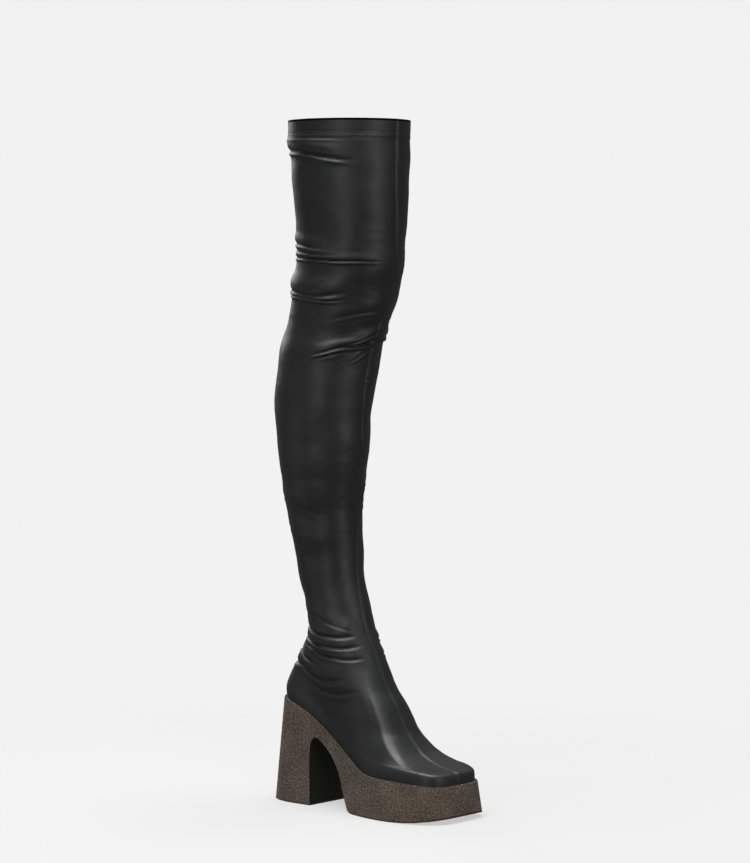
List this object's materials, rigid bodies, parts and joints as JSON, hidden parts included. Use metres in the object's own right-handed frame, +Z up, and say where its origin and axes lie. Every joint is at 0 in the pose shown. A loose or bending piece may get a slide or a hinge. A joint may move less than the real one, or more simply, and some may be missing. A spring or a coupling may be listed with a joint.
{
  "type": "thigh-high boot",
  "caption": "Thigh-high leather platform boot for the right foot: slim open shaft, raised front seam, folded collar, inner zip, square toe, arched thick sole with a block heel.",
  "frame": {"origin": "on the floor under the middle of the heel's tread", "axes": "+X to the toe, +Y to the inner side of the foot, +Z up"},
  "size_m": [0.2662, 0.1338, 0.7636],
  "materials": {
    "upper": "satin black",
    "sole": "matt crepe",
    "insole": "matt",
    "zip": "woven tape and coil",
    "zip_slider": "dark nickel",
    "zip_pull": "dark nickel"
  },
  "bodies": {
    "boot": {"upper": "upper", "sole": "sole", "insole": "insole", "zip": "zip", "zip_slider": "zip_slider"},
    "pull": {"zip_pull": "zip_pull"}
  },
  "joints": [
    {"name": "pull_swing", "type": "hinge", "parent": "boot", "child": "pull", "pos_m": [0.01449, 0.03432, 0.32867], "axis": [0.961, 0.2767, 0], "range_deg": [-6, 178]}
  ]
}
